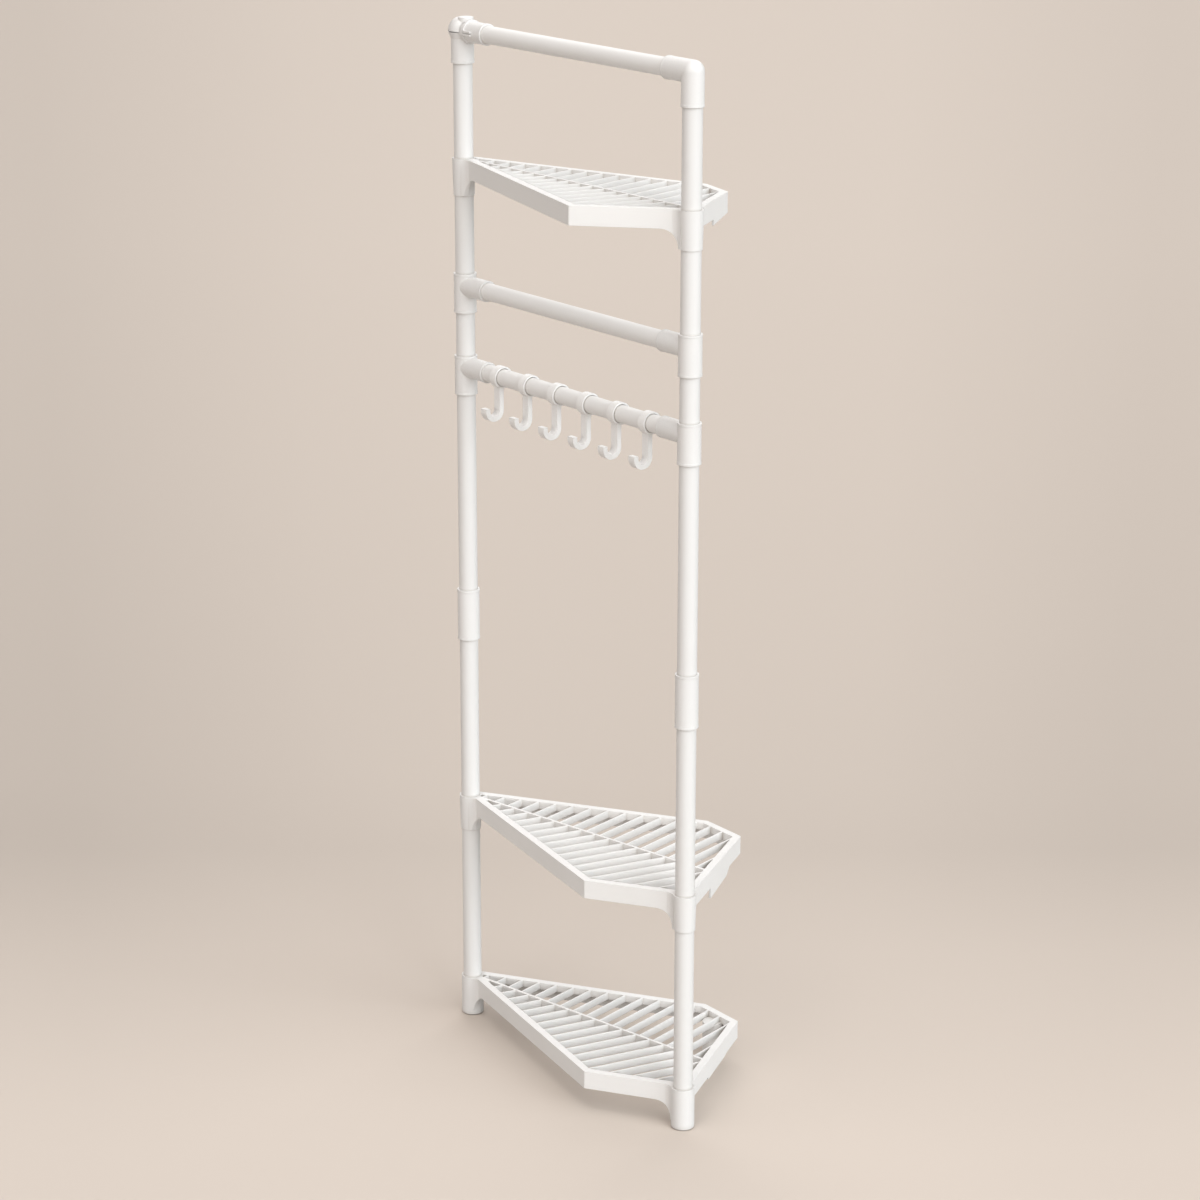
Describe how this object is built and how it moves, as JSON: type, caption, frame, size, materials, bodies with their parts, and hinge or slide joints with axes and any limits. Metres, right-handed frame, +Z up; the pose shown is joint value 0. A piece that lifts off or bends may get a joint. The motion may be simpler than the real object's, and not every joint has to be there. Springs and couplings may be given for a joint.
{
  "type": "corner coat rack",
  "caption": "Free-standing corner coat rack: white tube posts with slatted corner shelves, a hanger bar, and a bar of ring hooks that turn on it.",
  "frame": {"origin": "on the floor, under the centre of the rack's bounding box", "axes": "+Z up, +X along the bars from the post with the capped joint to the post with the elbow, +Y towards the room corner"},
  "size_m": [0.5486, 0.3226, 1.5482],
  "materials": {
    "tube_coat": "semi-gloss plastic coating",
    "joint_plastic": "semi-gloss moulded",
    "shelf_plastic": "satin moulded",
    "hook_plastic": "semi-gloss moulded"
  },
  "bodies": {
    "frame": {"bottom_shelf": "shelf_plastic", "hanger_bar": "tube_coat", "hook_bar": "tube_coat", "left_coupling": "joint_plastic", "left_hanger_tee": "joint_plastic", "left_hook_tee": "joint_plastic", "left_post_tube_1": "tube_coat", "left_post_tube_2": "tube_coat", "left_post_tube_3": "tube_coat", "left_post_tube_4": "tube_coat", "left_post_tube_5": "tube_coat", "left_post_tube_6": "tube_coat", "middle_shelf": "shelf_plastic", "right_coupling": "joint_plastic", "right_hanger_tee": "joint_plastic", "right_hook_tee": "joint_plastic", "right_post_tube_1": "tube_coat", "right_post_tube_2": "tube_coat", "right_post_tube_3": "tube_coat", "right_post_tube_4": "tube_coat", "right_post_tube_5": "tube_coat", "right_post_tube_6": "tube_coat", "top_bar": "tube_coat", "top_elbow": "joint_plastic", "top_joint": "joint_plastic", "top_joint_cap": "joint_plastic", "top_shelf": "shelf_plastic"},
    "hook_1": {"hook_1": "hook_plastic"},
    "hook_2": {"hook_2": "hook_plastic"},
    "hook_3": {"hook_3": "hook_plastic"},
    "hook_4": {"hook_4": "hook_plastic"},
    "hook_5": {"hook_5": "hook_plastic"},
    "hook_6": {"hook_6": "hook_plastic"}
  },
  "joints": [
    {"name": "hook_1_swing", "type": "hinge", "parent": "frame", "child": "hook_1", "pos_m": [-0.1682, -0.04966, 1.03592], "axis": [1, 0, 0], "continuous": true},
    {"name": "hook_2_swing", "type": "hinge", "parent": "frame", "child": "hook_2", "pos_m": [-0.1002, -0.04966, 1.03592], "axis": [1, 0, 0], "continuous": true},
    {"name": "hook_3_swing", "type": "hinge", "parent": "frame", "child": "hook_3", "pos_m": [-0.0322, -0.04966, 1.03592], "axis": [1, 0, 0], "continuous": true},
    {"name": "hook_4_swing", "type": "hinge", "parent": "frame", "child": "hook_4", "pos_m": [0.0358, -0.04966, 1.03592], "axis": [1, 0, 0], "continuous": true},
    {"name": "hook_5_swing", "type": "hinge", "parent": "frame", "child": "hook_5", "pos_m": [0.1038, -0.04966, 1.03592], "axis": [1, 0, 0], "continuous": true},
    {"name": "hook_6_swing", "type": "hinge", "parent": "frame", "child": "hook_6", "pos_m": [0.1718, -0.04966, 1.03592], "axis": [1, 0, 0], "continuous": true}
  ]
}
